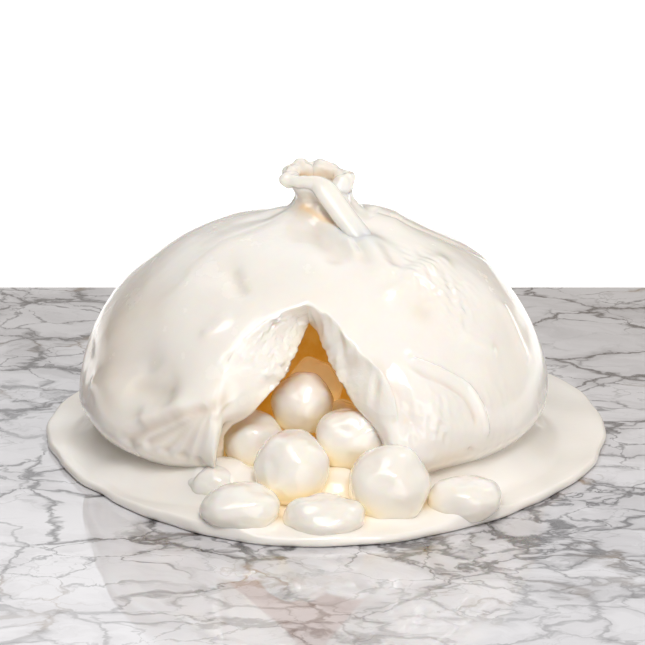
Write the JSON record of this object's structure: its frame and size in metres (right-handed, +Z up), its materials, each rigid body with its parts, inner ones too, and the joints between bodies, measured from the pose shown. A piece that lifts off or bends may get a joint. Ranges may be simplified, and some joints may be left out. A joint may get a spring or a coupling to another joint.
{
  "type": "stuffed mozzarella on board",
  "caption": "Knotted pouch of buffalo mozzarella cut open at the front, with small cheese balls and cream spilling from the cut onto a rectangular polished marble board.",
  "frame": {"origin": "middle of the board's underside, straight below the knot's axis", "axes": "+X to the right seen from the cut side, +Y away from the cut along the board's long side, +Z up"},
  "size_m": [0.4, 0.5, 0.1449],
  "materials": {
    "marble": "polished white marble with grey veins",
    "cream": "wet, thick cream",
    "cheese": "moist, porcelain-white cheese skin",
    "filling": "cream in the shade of the pouch",
    "ball": "moist, smooth cheese skin"
  },
  "bodies": {
    "root": {"marble_board": "marble", "cream_pool": "cream", "cheese_pouch": "cheese", "cream_filling": "filling", "ball_01": "ball", "ball_02": "ball", "ball_03": "ball", "ball_04": "ball", "ball_05": "ball", "ball_06": "ball", "ball_07": "ball", "ball_08": "ball", "ball_09": "ball", "ball_10": "ball", "ball_11": "ball", "ball_12": "ball"}
  },
  "joints": []
}
